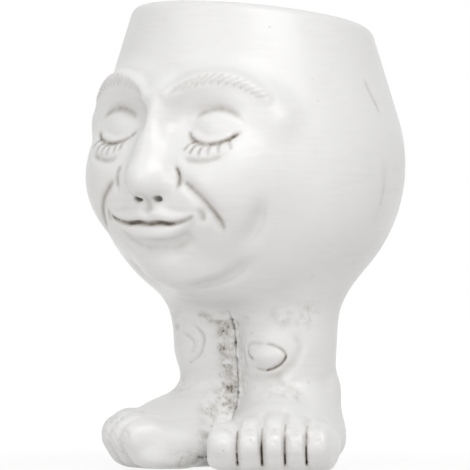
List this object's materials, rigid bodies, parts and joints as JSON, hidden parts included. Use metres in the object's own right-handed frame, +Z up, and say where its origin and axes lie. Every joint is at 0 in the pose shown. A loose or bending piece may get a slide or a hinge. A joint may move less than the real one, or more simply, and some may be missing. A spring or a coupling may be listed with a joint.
{
  "type": "head planter",
  "caption": "White cast planter shaped as a calm head on two bare-footed legs, open at the top for a plant, with a pull-out drain plug underneath.",
  "frame": {"origin": "on the floor, under the middle of the object's outline", "axes": "+Z up, the face looks along -Y, the object's own left is +X"},
  "size_m": [0.1999, 0.222, 0.2997],
  "materials": {
    "white_casting": "satin",
    "steel_dowel": "satin",
    "grey_rubber": "matte"
  },
  "bodies": {
    "planter": {"head_bowl": "white_casting", "left_leg": "white_casting", "right_leg": "white_casting", "left_front_dowel": "steel_dowel", "left_rear_dowel": "steel_dowel", "right_front_dowel": "steel_dowel", "right_rear_dowel": "steel_dowel"},
    "plug": {"drain_plug": "grey_rubber"}
  },
  "joints": [
    {"name": "plug_pull", "type": "slide", "parent": "planter", "child": "plug", "axis": [0, 0, -1], "range_m": [0, 0.03]}
  ]
}
